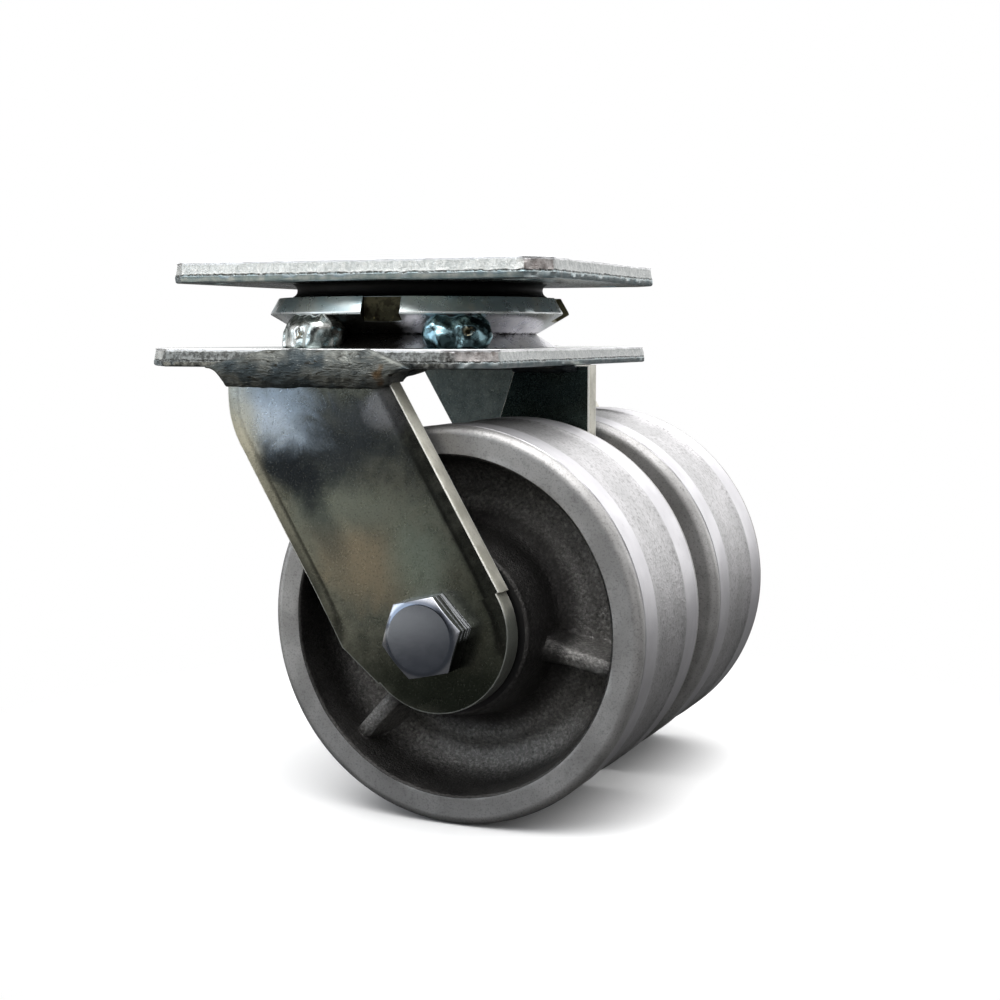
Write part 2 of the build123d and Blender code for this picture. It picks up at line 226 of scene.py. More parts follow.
def leg_zinc():
    """Zinc on the outer legs, painted with the reflections and shade seen on them: pale blue reflection high
    at the left, dark shade near the top and round the axle, and olive, brown and teal clouds between that
    read also as uneven plating; the inner face darkened as painted shade; and a border band whose tone is
    painted light and shade, set off by a crisp dark line that paints the shade in its crease.
    """
    finish = Finish("leg_zinc", Metallic=1.0)
    place = finish.place()
    along, across, up = finish.axes(place)
    wander = finish.mottle(place, 11, 4, 0.6, 0.6)
    small = finish.mottle(place, 4, 4, 0.65)
    grain = finish.mottle(place, 0.55, 3, 0.7)
    shift = (wander - 0.5) * 1.7

    def patch(colour, middle, reach, tint, strength=1.0, lean=0.0):
        """A soft cloud of the tint: together the patches paint the leg's reflections and shade. Middle and
        reach are in mm from the axle, along the sheet and up.
        """
        right = (along - axle.x) * (1 / MM) - middle[0]
        rise = (up - axle.z) * (1 / MM) - middle[1]
        far = ((right - rise * lean) / reach[0]) ** 2.0 + (rise / reach[1]) ** 2.0
        cover = ((far ** 0.5) + shift).ramp(1.35, 0.25)
        return finish.blend(cover * strength, colour, tint)

    colour = finish.blend(small.ramp(0.3, 0.7), (0.11, 0.115, 0.095), (0.20, 0.205, 0.17))
    # Painted reflections and shade: the pale blue and cream patches paint reflections, the near-black ones
    # paint shade, and the olive, brown and teal ones between are both painted light and plating tint.
    colour = patch(colour, (-22, 22), (16, 24), (0.125, 0.145, 0.13), 0.9, -0.5)
    colour = patch(colour, (-19, 17), (14, 12), (0.31, 0.26, 0.185), 0.8, -0.3)
    colour = patch(colour, (-3, 19), (10, 11), (0.24, 0.29, 0.25), 0.75)
    colour = patch(colour, (-20, 31), (20, 7), (0.22, 0.24, 0.20), 0.8)
    colour = patch(colour, (-32, 29), (5, 16), (0.055, 0.07, 0.07), 0.6, -0.5)
    colour = patch(colour, (8, -14), (36, 13), (0.034, 0.040, 0.030))
    colour = patch(colour, (16, 4), (10, 20), (0.075, 0.083, 0.062), 0.7, -0.4)
    colour = patch(colour, (-28, 46), (26, 13), (0.048, 0.055, 0.060), 1.0, -0.5)
    colour = patch(colour, (-40, 39), (11, 9), (0.020, 0.024, 0.029), 0.95, -0.5)
    colour = patch(colour, (-22, 53), (18, 5), (0.070, 0.078, 0.086), 0.7)
    colour = patch(colour, (-46, 55), (15, 10), (0.46, 0.55, 0.66), 0.9, -0.5)
    colour = patch(colour, (-47, 52), (8, 6), (0.66, 0.74, 0.84), 0.8, -0.5)
    colour = patch(colour, (-54, 51), (6, 12), (0.56, 0.55, 0.47), 0.85)
    colour = patch(colour, (-11, 56), (7, 6), (0.42, 0.42, 0.44), 0.8)
    # The inner face of the leg, between the wheels, is darkened as painted shade.
    inside = (across.math("ABSOLUTE") - leg_middle).ramp(0.001, -0.001)
    inner_painted_shade = finish.blend(small.ramp(0.3, 0.7), (0.07, 0.09, 0.094), (0.12, 0.145, 0.148))
    colour = finish.blend(inside, colour, inner_painted_shade)
    band = finish.attribute("border") * (1.0 - inside)
    # The border band's tone is painted light and shade: on the left it grows light toward the top, on the
    # right it stays dark.
    right_side = ((along - axle.x) + (up - axle.z) * 0.53).ramp(-0.01, 0.01)
    left_painted_light = finish.blend((up - axle.z).ramp(0.0, 0.055), (0.10, 0.105, 0.085), (0.44, 0.44, 0.38))
    right_painted_shade = finish.blend(small.ramp(0.35, 0.7), (0.035, 0.037, 0.032), (0.15, 0.15, 0.125))
    colour = finish.blend(band * 0.8, colour, finish.blend(right_side, left_painted_light, right_painted_shade))
    # A crisp dark line at the border's crease: painted shade.
    line = band.ramp(0.0, 0.15) * (1.0 - band.ramp(0.2, 0.5))
    colour = finish.blend(line * (0.75 - (up - axle.z).ramp(0.03, 0.05) * 0.5), colour, (0.02, 0.02, 0.018))
    colour = finish.blend(grain.ramp(0.52, 0.72) * 0.5, colour, (0.035, 0.037, 0.033))
    finish.set(
        Base_Color=finish.blend(grain.ramp(0.46, 0.30) * 0.10, colour, (0.55, 0.56, 0.52)),
        Roughness=0.19 + small * 0.08 + grain * 0.12,
        Normal=finish.relief(grain + small * 1.6, 0.040),
    )
    return finish.material


def sheared_edge():
    """Cut edge of the sheet: torn bright grain above, a dark line of painted shadow between, and a smooth
    burnished band below; a near-white painted highlight runs along the top, and the front-facing cut is
    darker and speckled below it.
    """
    finish = Finish("sheared_edge", Metallic=0.75)
    place = finish.place()
    grain = finish.mottle(place, 0.7, 4, 0.75)
    drag = finish.mottle(finish.vector("MULTIPLY", place, (1.0, 1.0, 0.6)), 1.0, 3, 0.6, 0.8)
    wander = finish.mottle(place, 2.4, 4, 0.7)
    height = finish.attribute("cut") + (wander - 0.5) * 0.22
    torn = height.ramp(0.33, 0.40)
    # The dark line between the torn and the burnished bands is painted shadow.
    shadow_line = height.ramp(0.27, 0.33) * (1.0 - height.ramp(0.36, 0.43)) * drag.ramp(0.35, 0.6)
    bright = finish.blend(drag.ramp(0.25, 0.7), (0.60, 0.62, 0.60), (0.92, 0.92, 0.89))
    smooth = finish.blend(wander.ramp(0.35, 0.65), (0.26, 0.33, 0.35), (0.46, 0.50, 0.50))
    facing = finish.attribute("facing")
    ends = facing.ramp(0.85, 0.98)
    clip = facing.ramp(0.3, 0.6) * (1.0 - ends) * finish.axes(place)[0].ramp(0.0, 0.01)
    end_tone = finish.blend(drag.ramp(0.25, 0.7), (0.40, 0.42, 0.42), (0.60, 0.61, 0.60))
    clip_tone = finish.blend(wander.ramp(0.35, 0.65), (0.17, 0.13, 0.12), (0.62, 0.58, 0.57))
    bright = finish.blend(ends, bright, end_tone)
    bright = finish.blend(clip * 0.85, bright, clip_tone)
    colour = finish.blend(torn, smooth, bright)
    # The front-facing cut is darker and speckled, except along its top.
    front = finish.axes(place)[1].ramp(-0.062, -0.064)
    specks = finish.mottle(place, 1.3, 4, 0.7)
    front_dark_speckle = finish.blend(specks.ramp(0.38, 0.62), (0.035, 0.035, 0.032), (0.30, 0.31, 0.30))
    colour = finish.blend(front * height.ramp(0.88, 0.80) * 0.9, colour, front_dark_speckle)
    # A near-white line along the top of the cut: painted highlight on its rounded edge.
    colour = finish.blend(height.ramp(0.82, 0.90), colour, (0.94, 0.94, 0.95))
    colour = finish.blend(shadow_line * 0.9, colour, (0.05, 0.05, 0.045))
    finish.set(
        Base_Color=colour,
        Roughness=0.26 + torn * 0.18 + grain * 0.14,
        Normal=finish.relief((grain + drag) * torn + drag * 0.25 - shadow_line, 0.11),
    )
    return finish.material


def cut_strip():
    """Edge of a cut leg: pale, with a fine cream grain, painted highlights along both borders, and painted
    shade round the lower end by the axle.
    """
    finish = Finish("cut_strip", Metallic=0.35)
    place = finish.place()
    grain = finish.mottle(place, 0.7, 4, 0.75)
    patches = finish.mottle(place, 6, 3, 0.6)
    _, _, up = finish.axes(place)
    share = finish.attribute("cut") + (grain - 0.5) * 0.1
    colour = finish.blend(patches.ramp(0.35, 0.65), (0.56, 0.545, 0.465), (0.76, 0.74, 0.65))
    # Near-white lines along both borders of the strip: painted highlights on its rounded corners.
    outline = share.ramp(0.14, 0.09) + share.ramp(0.86, 0.91)
    colour = finish.blend(outline, colour, (0.95, 0.94, 0.88))
    # Dark round the lower end by the axle: painted shade.
    low = (up - axle.z + (patches - 0.5) * 0.01).ramp(0.015, 0.002)
    colour = finish.blend(low * 0.9, colour, (0.085, 0.095, 0.085))
    finish.set(
        Base_Color=finish.blend(grain.ramp(0.5, 0.8) * 0.55, colour, (0.26, 0.26, 0.21)),
        Roughness=0.30 + grain * 0.2,
        Normal=finish.relief(grain + patches, 0.07),
    )
    return finish.material


def turned_zinc():
    """Turned race parts under zinc, blue-green with a straw tint; below the ring's edge a pale painted
    reflection of the plate, deep painted shade between the front welds, and a painted highlight along the
    ring's edge.
    """
    finish = Finish("turned_zinc", Metallic=0.8)
    place = finish.place()
    clouds = finish.mottle(place, 12, 2, 0.5, 0.8)
    small = finish.mottle(place, 2.5, 4, 0.6)
    dots = finish.mottle(place, 1.1, 2, 0.6)
    wide = finish.mottle(place, 6, 2, 0.5)
    lines = finish.mottle(finish.vector("MULTIPLY", place, (0.02, 0.02, 1.0)), 0.25, 2, 0.6)
    colour = finish.blend(clouds.ramp(0.40, 0.60), (0.48, 0.59, 0.62), (0.60, 0.66, 0.65))
    colour = finish.blend(small.ramp(0.62, 0.8) * 0.12, colour, (0.18, 0.20, 0.20))
    along, across, up = finish.axes(place)
    # Below the ring's edge the tone turns pale: painted reflection of the bright plate top.
    below = (up - ring_edge_z).ramp(0.0001, -0.0006)
    pale = finish.blend(small.ramp(0.35, 0.65), (0.60, 0.60, 0.64), (0.74, 0.73, 0.75))
    colour = finish.blend(below, colour, pale)
    # Near-black below the ring between the front welds: painted shade.
    between = (along + 0.003 + (wide - 0.5) * 0.008).math("ABSOLUTE").ramp(0.019, 0.013)
    between = between * across.ramp(0.0, -0.01)
    colour = finish.blend(between * below, colour, (0.022, 0.020, 0.017))
    # A thin near-white line along the ring's edge: painted highlight.
    ring_edge_highlight = (up - ring_edge_z).math("ABSOLUTE").ramp(0.00055, 0.0002)
    colour = finish.blend(ring_edge_highlight * 0.85, colour, (0.88, 0.90, 0.90))
    seam_gap = (up - seam_z).math("ABSOLUTE").ramp(0.0005, 0.00015)
    colour = finish.blend(seam_gap * dots.ramp(0.45, 0.6), colour, (0.02, 0.015, 0.012))
    finish.set(
        Base_Color=colour,
        Roughness=0.20 + small * 0.18,
        Normal=finish.relief(lines * 0.5 + small, 0.02),
    )
    return finish.material


def notch_floor():
    """Floor and walls of the locking notches: dark brown to olive, lighter olive up toward the ring's edge
    and toward the right as painted light.
    """
    finish = Finish("notch_floor", Metallic=0.9)
    place = finish.place()
    small = finish.mottle(place, 1.2, 4, 0.7)
    patches = finish.mottle(place, 3.5, 3, 0.6)
    along, _, up = finish.axes(place)
    # lit is painted light: lighter up toward the ring's edge and toward the right, dark brown below.
    lit = (up - ring_edge_z + (small - 0.5) * 0.003).ramp(0.0, 0.003) * 0.35 + along.ramp(0.025, 0.035)
    olive = finish.blend(lit, (0.05, 0.047, 0.028), (0.20, 0.185, 0.11))
    colour = finish.blend(patches.ramp(0.42, 0.6) + lit, (0.012, 0.009, 0.005), olive)
    finish.set(
        Base_Color=finish.blend(small.ramp(0.6, 0.75) * 0.5, colour, (0.36, 0.31, 0.14)),
        Roughness=0.34 + small * 0.2,
        Normal=finish.relief(small, 0.12),
    )
    return finish.material


def weld_skin():
    """Weld bead on the race under zinc: glassy, silver to teal, with a little gold; the lighter blue patches
    on the teal beads are painted reflections.
    """
    finish = Finish("weld_skin", Metallic=1.0)
    place = finish.place()
    tint = finish.mottle(place, 7, 2, 0.5, 0.8)
    small = finish.mottle(place, 1.4, 3, 0.6)
    along, _, _ = finish.axes(place)
    silver = finish.blend(tint.ramp(0.38, 0.55), (0.62, 0.68, 0.66), (0.86, 0.87, 0.84))
    # The teal beads: dark, with lighter blue patches that paint reflections.
    teal = finish.blend(tint.ramp(0.44, 0.54), (0.03, 0.05, 0.055), (0.32, 0.50, 0.56))
    colour = finish.blend(along.ramp(-0.002, 0.002), silver, teal)
    pit = finish.attribute("pit")
    burnt = finish.mottle(place, 0.9, 3, 0.7).ramp(0.42, 0.56)
    colour = finish.blend(pit.ramp(0.0, 0.3) * burnt * 0.8, colour, (0.40, 0.33, 0.20))
    colour = finish.blend(pit.ramp(0.5, 0.7), colour, (0.02, 0.017, 0.01))
    colour = finish.blend(small.ramp(0.62, 0.75) * 0.5, colour, (0.07, 0.09, 0.08))
    finish.set(
        Base_Color=colour,
        Roughness=0.12 + small * 0.16,
        Normal=finish.relief(small, 0.10),
    )
    return finish.material


def smeared_weld():
    """Long weld under the base plate: dark slate, drawn into fine slanting folds, with burnt brown pits."""
    finish = Finish("smeared_weld", Metallic=1.0)
    place = finish.place()
    drawn = finish.vector("MULTIPLY", place, (0.45, 1.0, 1.6))
    folds = finish.mottle(drawn, 2.2, 4, 0.65, 1.4)
    fine = finish.mottle(drawn, 0.7, 3, 0.7)
    patches = finish.mottle(place, 8, 2, 0.5)
    colour = finish.blend(patches.ramp(0.4, 0.6), (0.055, 0.066, 0.07), (0.13, 0.135, 0.125))
    colour = finish.blend(folds.ramp(0.56, 0.68), colour, (0.03, 0.027, 0.022))
    colour = finish.blend(fine.ramp(0.6, 0.75) * 0.5, colour, (0.42, 0.43, 0.40))
    colour = finish.blend(patches.ramp(0.66, 0.76) * 0.8, colour, (0.12, 0.07, 0.03))
    finish.set(
        Base_Color=colour,
        Roughness=0.24 + fine * 0.22,
        Normal=finish.relief(folds * 1.2 + fine * 0.4, 0.30),
    )
    return finish.material


def black_neck_painted_shade():
    """Nearly black, dull finish of the neck under the top plate, made dark enough to paint the deep shade
    there.
    """
    finish = Finish("black_neck_painted_shade", Metallic=0.6)
    place = finish.place()
    small = finish.mottle(place, 1.5, 4, 0.6)
    finish.set(
        Base_Color=finish.blend(small, (0.004, 0.004, 0.005), (0.014, 0.013, 0.013)),
        Roughness=0.42 + small * 0.2,
        Normal=finish.relief(small, 0.02),
    )
    return finish.material


def fastener_zinc():
    """Bright zinc on the bolt and nut, faintly violet; on the head, a darker blue-grey face and dark lower
    sides as painted shade, and painted striped highlights on its upper sides, less metallic there.
    """
    finish = Finish("fastener_zinc", Metallic=1.0)
    place = finish.place()
    small = finish.mottle(place, 2.4, 4, 0.6)
    grain = finish.mottle(place, 0.35, 2, 0.6)
    _, across, up = finish.axes(place)
    face = (across - head_face).ramp(0.0006, 0.0002)
    sides = (across - head_face).ramp(0.0012, 0.0016) * (across - head_face).ramp(0.0085, 0.0078)
    stripes = finish.mottle(finish.vector("MULTIPLY", place, (0.03, 1.0, 0.03)), 1.5, 3, 0.6)
    # Dark lower sides of the head: painted shade; striped light on its upper sides: painted highlights.
    lower = (up - axle.z).ramp(0.001, -0.001)
    striped_highlight = sides * stripes.ramp(0.47, 0.56) * (1.0 - lower)
    colour = finish.blend(small, (0.50, 0.52, 0.57), (0.64, 0.65, 0.71))
    colour = finish.blend(sides * lower, colour, (0.05, 0.05, 0.055))
    colour = finish.blend(striped_highlight * 0.8, colour, (0.66, 0.68, 0.71))
    # The head's face is painted a darker blue-grey as shade.
    face_painted_shade = finish.blend(small, (0.19, 0.215, 0.265), (0.25, 0.275, 0.335))
    finish.set(
        Base_Color=finish.blend(face, colour, face_painted_shade),
        Metallic=1.0 - striped_highlight * 0.6,
        Roughness=0.12 + small * 0.12,
        Normal=finish.relief(grain * 0.5 + small, 0.008),
    )
    return finish.material


def cast_skin():
    """Sand-cast iron: dark grey grain with a few coarser lumps, and a lighter ring with brighter grains over
    the cove of the recess, as painted light.
    """
    finish = Finish("cast_skin", Metallic=0.85)
    place = finish.place()
    sand = finish.mottle(place, 0.8, 4, 0.7)
    coarse = finish.mottle(place, 3.5, 3, 0.6)
    patches = finish.mottle(place, 15, 3, 0.5)
    colour = finish.blend(patches.ramp(0.35, 0.65), (0.045, 0.043, 0.042), (0.08, 0.077, 0.074))
    radius = finish.from_axle(place)
    # Lighter ring over the cove, with brighter sand grains: painted light.
    cove = radius.ramp(0.027, 0.032) * radius.ramp(0.0425, 0.0385)
    colour = finish.blend(cove * (0.5 + coarse * 0.5), colour, (0.27, 0.262, 0.252))
    colour = finish.blend(sand.ramp(0.46, 0.68) * (0.08 + cove * 0.5), colour, (0.58, 0.565, 0.54))
    colour = finish.blend(sand.ramp(0.44, 0.30) * 0.7, colour, (0.03, 0.029, 0.028))
    finish.set(
        Base_Color=colour,
        Metallic=0.85 - cove * 0.2,
        Roughness=0.38 + coarse * 0.16,
        Normal=finish.relief(sand + coarse * 0.6, 0.42),
    )
    return finish.material


def machined_iron():
    """Turned iron with fine tool lines: pale grey, faintly violet, and dark on the hub's ends."""
    finish = Finish("machined_iron", Metallic=1.0)
    place = finish.place()
    small = finish.mottle(place, 1.6, 4, 0.65)
    grain = finish.mottle(place, 0.45, 2, 0.7)
    patches = finish.mottle(place, 12, 2, 0.5)
    lines = finish.mottle(finish.vector("MULTIPLY", place, (0.03, 1.0, 0.03)), 0.22, 2, 0.7)
    colour = finish.blend(patches.ramp(0.35, 0.7), (0.60, 0.59, 0.61), (0.70, 0.69, 0.71))
    colour = finish.blend(small.ramp(0.58, 0.8) * 0.3, colour, (0.36, 0.35, 0.37))
    hub_face = finish.from_axle(place).ramp(0.032, 0.027)
    colour = finish.blend(hub_face, colour, (0.055, 0.054, 0.055))
    finish.set(
        Base_Color=colour,
        Roughness=0.42 + small * 0.12,
        Normal=finish.relief(lines + small * 0.8 + grain * 0.8, 0.018),
    )
    return finish.material


def rim_face():
    """Outer faces of the rim: turned, then dulled, a middle grey."""
    finish = Finish("rim_face", Metallic=0.8)
    place = finish.place()
    small = finish.mottle(place, 1.6, 4, 0.65)
    grain = finish.mottle(place, 0.5, 2, 0.7)
    patches = finish.mottle(place, 14, 2, 0.5)
    colour = finish.blend(patches.ramp(0.35, 0.7), (0.39, 0.382, 0.377), (0.53, 0.522, 0.516))
    colour = finish.blend(grain.ramp(0.5, 0.7) * 0.5, colour, (0.16, 0.155, 0.15))
    finish.set(
        Base_Color=finish.blend(small.ramp(0.5, 0.8) * 0.5, colour, (0.18, 0.175, 0.17)),
        Roughness=0.44 + small * 0.12,
        Normal=finish.relief(small + grain, 0.03),
    )
    return finish.material


def rough_turned():
    """Tread between the lands: left as cast, with a fine sandy grain."""
    finish = Finish("rough_turned", Metallic=1.0)
    place = finish.place()
    small = finish.mottle(place, 0.9, 4, 0.65)
    patches = finish.mottle(place, 9, 2, 0.5)
    colour = finish.blend(patches.ramp(0.35, 0.7), (0.48, 0.475, 0.48), (0.57, 0.56, 0.57))
    finish.set(
        Base_Color=finish.blend(small.ramp(0.45, 0.70) * 0.6, colour, (0.20, 0.195, 0.19)),
        Roughness=0.40 + small * 0.14,
        Normal=finish.relief(small, 0.16),
    )
    return finish.material


def bearing_steel():
    """Ground steel of the bearings, bushings and washers, darkened as painted shade."""
    finish = Finish("bearing_steel", Metallic=1.0)
    place = finish.place()
    small = finish.mottle(place, 1.4, 3, 0.6)
    finish.set(
        Base_Color=finish.blend(small, (0.13, 0.125, 0.115), (0.22, 0.215, 0.20)),
        Roughness=0.22 + small * 0.14,
        Normal=finish.relief(small, 0.01),
    )
    return finish.material


axle = (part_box("near_rim")[0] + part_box("near_rim")[1]) / 2
seam_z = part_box("race_seat")[1].z
ring_edge_z = seam_z + RING_LOWER_BEVEL * MM
leg_middle = (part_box("far_leg")[0].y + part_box("far_leg")[1].y) / 2
head_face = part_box("axle_bolt")[0].y
zinc = zinc_sheet("zinc_sheet", (1.0, 1.0, 1.0))
# Darkened copy for the centre leg: painted shade for the shade between the wheels.
painted_shade_zinc = zinc_sheet("painted_shade_zinc_sheet", (0.28, 0.36, 0.34))
leg_skin = leg_zinc()
edge = sheared_edge()
strip = cut_strip()
turned = turned_zinc()
notched = notch_floor()
weld = weld_skin()
smear = smeared_weld()
black = black_neck_painted_shade()
bright = fastener_zinc()
cast = cast_skin()
machined = machined_iron()
rim_grey = rim_face()
rough = rough_turned()
ground = bearing_steel()
slot_finishes = {
    "zinc_sheet": zinc, "zinc_turned": turned, "weld_metal": weld, "bright_zinc": bright,
    "black_steel": black, "cast_iron": cast, "bearing_steel": ground,
}
node_slots = {part["node"]: part["material_slot"] for part in frame["record"]["subparts"]}
node_bodies = {name: body for body, names in frame["record"]["behaviour"]["bodies"].items() for name in names}


def dress(name, mesh, finishes, *nodes, smooth=35):
    """Puts a mesh in the scene in place of the CAD nodes, riding on their body."""
    mesh.name = name
    if mesh.materials:
        mesh.materials.clear()
    for finish in finishes:
        mesh.materials.append(finish)
    for face in mesh.polygons:
        face.use_smooth = True
    mesh.set_sharp_from_angle(angle=math.radians(smooth))
    piece = bpy.data.objects.new(name, mesh)
    bpy.context.scene.collection.objects.link(piece)
    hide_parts(*nodes)
    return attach(piece, node_bodies[nodes[0]])


def as_mesh(name, form):
    """The edited form as a mesh, with its faces turned outward."""
    bmesh.ops.recalc_face_normals(form, faces=form.faces[:])
    mesh = bpy.data.meshes.new(name)
    form.to_mesh(mesh)
    form.free()
    return mesh


def merged_node(node):
    """The CAD node's mesh with flat areas joined into single faces."""
    form = bmesh.new()
    form.from_mesh(frame["nodes"][node].data)
    bmesh.ops.remove_doubles(form, verts=form.verts[:], dist=1e-6)
    bmesh.ops.dissolve_limit(form, angle_limit=math.radians(0.4), verts=form.verts[:], edges=form.edges[:])
    return form


def eased_copy(node, name, finishes, ease, angle=28, segments=3, apart=None):
    """A copy of the CAD node with its sharp edges rounded. Faces picked by apart() take the second finish."""
    form = merged_node(node)
    sharp = [e for e in form.edges if len(e.link_faces) == 2 and e.calc_face_angle() > math.radians(angle)]
    bmesh.ops.bevel(form, geom=sharp, offset=ease * MM, segments=segments, profile=0.5,
                    affect="EDGES", clamp_overlap=True, loop_slide=True)
    bmesh.ops.triangulate(form, faces=[f for f in form.faces if len(f.verts) > 4])
    for face in form.faces:
        if apart and apart(face):
            face.material_index = 1
    return dress(name, as_mesh(name, form), finishes, node)


def flat_loops(node, axis):
    """Outline and holes of a sheet, as closed rings of points on its low face, across the given axis."""
    form = merged_node(node)
    low = min(v.co[axis] for v in form.verts)
    high = max(v.co[axis] for v in form.verts)
    rim = {}
    for e in form.edges:
        on_low = all(abs(v.co[axis] - low) < 1e-6 for v in e.verts)
        flat = [abs(f.normal[axis]) > 0.99 for f in e.link_faces]
        if on_low and flat.count(True) == 1:
            a, b = e.verts
            rim.setdefault(a, []).append(b)
            rim.setdefault(b, []).append(a)
    plane = [k for k in range(3) if k != axis]
    loops = []
    seen = set()
    for start in rim:
        if start in seen:
            continue
        ring = [start]
        seen.add(start)
        step = rim[start][0]
        while step is not start:
            ring.append(step)
            seen.add(step)
            step = next((v for v in rim[step] if v not in seen), start)
        loops.append([Vector((v.co[plane[0]], v.co[plane[1]])) for v in ring])
    form.free()
    loops.sort(key=lambda ring: -max((p - q).length for p in ring for q in ring))
    return loops, low, high


def resampled(ring, step):
    """The ring with extra points along its long runs, its corners kept."""
    points = []
    for a, b in zip(ring, ring[1:] + ring[:1]):
        count = max(1, math.ceil((b - a).length / (step * MM)))
        points += [a.lerp(b, k / count) for k in range(count)]
    return points


def inward(ring, hole, reach=1):
    """For each point of the ring, the step that moves it into the sheet's material by one unit."""
    area = sum(a.x * b.y - b.x * a.y for a, b in zip(ring, ring[1:] + ring[:1]))
    turn = (1 if area > 0 else -1) * (-1 if hole else 1)
    sides = []
    for here, after in zip(ring, ring[1:] + ring[:1]):
        run = (after - here).normalized()
        sides.append(Vector((-run.y, run.x)) * turn)
    steps = []
    for k in range(len(ring)):
        near = [sides[(k + j) % len(ring)] for j in range(-reach, reach)]
        middle = sum(near, Vector((0, 0))) / len(near)
        steps.append(middle / max(middle.length_squared, 0.5))
    return steps


def sheet_piece(node, axis, name, finishes, outline_cut, tear=0.0, rolled=None):
    """A sheet with its CAD outline: flat faces, and edges that follow the cut's profile.

    The cut is a list of (share of the thickness, inset in mm). Where rolled is given, it says how
    much of the roll at the outer face's edge there is at a place on the outline."""
    loops, low, high = flat_loops(node, axis)
    plane = [k for k in range(3) if k != axis]
    form = bmesh.new()
    cut_mark = form.verts.layers.float.new("cut")
    border_mark = form.verts.layers.float.new("border")
    facing_mark = form.verts.layers.float.new("facing")

    def corner(point, height, share, border, facing):
        place = [0.0, 0.0, 0.0]
        place[plane[0]], place[plane[1]], place[axis] = point.x, point.y, height
        vertex = form.verts.new(place)
        vertex[cut_mark] = share
        vertex[border_mark] = border
        vertex[facing_mark] = facing
        return vertex

    bands = []
    for number, ring in enumerate(loops):
        hole = number > 0
        ring = resampled(ring, HOLE_STEP if hole else OUTLINE_STEP)
        crisp = inward(ring, hole)
        wide = inward(ring, hole, 5)
        cut = HOLE_CUT if hole else outline_cut
        rings = []
        for share, inset in cut:
            level = []
            for point, near, far in zip(ring, crisp, wide):
                step = far if inset > 1 else near
                sunk = share
                if rolled and not hole and min(share, 1 - share) < 0.11:
                    edge_share = min(share, 1 - share) * rolled(point)
                    sunk = edge_share if share < 0.5 else 1 - edge_share
                height = low + sunk * (high - low)
                torn = 0.0
                if 0.1 < share < 0.9 and not hole:
                    clipped = 3 if abs(near.x * near.y) > 0.3 else 1
                    torn = clipped * tear * (0.5 + noise.noise(Vector((point.x, point.y, height)) * 700))
                border = rolled(point) * (inset < 4) if rolled and not hole else 0.0
                moved = point + step * ((inset + max(0.0, torn)) * MM)
                level.append(corner(moved, height, share, border, abs(near.x)))
            rings.append(level)
        bands.append(rings)
        for (lower, upper), (_, inset), (_, after) in zip(zip(rings, rings[1:]), cut, cut[1:]):
            for k in range(len(ring)):
                m = (k + 1) % len(ring)
                face = form.faces.new((lower[k], lower[m], upper[m], upper[k]))
                face.material_index = 0 if max(inset, after) > 1 else 1
    for end in (0, -1):
        edges = []
        for rings in bands:
            level = rings[end]
            edges += [form.edges.get((level[k], level[(k + 1) % len(level)])) for k in range(len(level))]
        filled = bmesh.ops.triangle_fill(form, edges=edges, use_beauty=True)
        for item in filled["geom"]:
            if isinstance(item, bmesh.types.BMFace):
                item.material_index = 0
    return dress(name, as_mesh(name, form), finishes, node, smooth=30)


def leg_roll(point):
    """The leg's rolled border dies out round the end at the axle."""
    return max(0.0, min(1.0, (point.y - axle.z + ROLL_FADE_START * MM) / (ROLL_FADE_LENGTH * MM)))


# Profiles of the cuts, as (share of the sheet's thickness, inset in mm).
SHEARED = [(0, 0.8), (0.04, 0.35), (0.11, 0.08), (0.29, 0.0), (0.34, 0.16),
           (0.5, 0.30), (0.7, 0.44), (0.88, 0.56), (0.96, 0.66), (1, 0.86)]
SAWN = [(0, 0.3), (0.03, 0.12), (0.09, 0.0), (0.35, 0.02),
        (0.65, 0.03), (0.91, 0.0), (0.97, 0.12), (1, 0.3)]
ROLLED = [(0, 4.9), (0.006, 4.2), (0.085, 0.45), (0.105, 0.15), (0.14, 0.03),
          (0.35, 0.02), (0.65, 0.03), (0.91, 0.0), (0.97, 0.12), (1, 0.3)]
ROLLED_BACK = [(1 - share, inset) for share, inset in reversed(ROLLED)]

sheet_piece("top_plate", 2, "top_plate_sheet", [zinc, edge], SHEARED, tear=0.16)
sheet_piece("base_plate", 2, "base_plate_sheet", [zinc, edge], SHEARED, tear=0.16)
sheet_piece("near_leg", 1, "near_leg_sheet", [leg_skin, strip], ROLLED, tear=0.05, rolled=leg_roll)
sheet_piece("far_leg", 1, "far_leg_sheet", [leg_skin, strip], ROLLED_BACK, tear=0.05, rolled=leg_roll)
sheet_piece("centre_leg", 1, "centre_leg_sheet", [painted_shade_zinc, strip], SAWN, tear=0.05)


def in_notch(face):
    """True for the floor and side walls of the ring's notches."""
    centre = face.calc_center_median()
    outward = Vector((centre.x, centre.y)).normalized()
    across = Vector((face.normal.x, face.normal.y))
    turn = (math.degrees(math.atan2(centre.y, centre.x)) - NOTCH_ANGLE + 45) % 90 - 45
    wall = abs(across.dot(outward)) < 0.5 and abs(face.normal.z) < 0.3
    floor = abs(face.normal.z) < 0.2 and NOTCH_FLOOR[0] < outward.dot(centre.xy) / MM < NOTCH_FLOOR[1]
    return abs(turn) < NOTCH_HALF_TURN and (wall or floor)


eased_copy("race_ring", "race_ring_turned", [turned, notched], 0.25, apart=in_notch)
eased_copy("race_seat", "race_seat_turned", [turned], 0.25)
eased_copy("swivel_hub", "swivel_neck", [black], 0.3)
eased_copy("lock_nut", "axle_nut", [bright], 0.3)
eased_copy("axle_bolt", "axle_bolt_and_head", [bright], 0.18, angle=14)


base_under_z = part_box("base_plate")[0].z
weld_end_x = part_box("near_leg_weld")[1].x


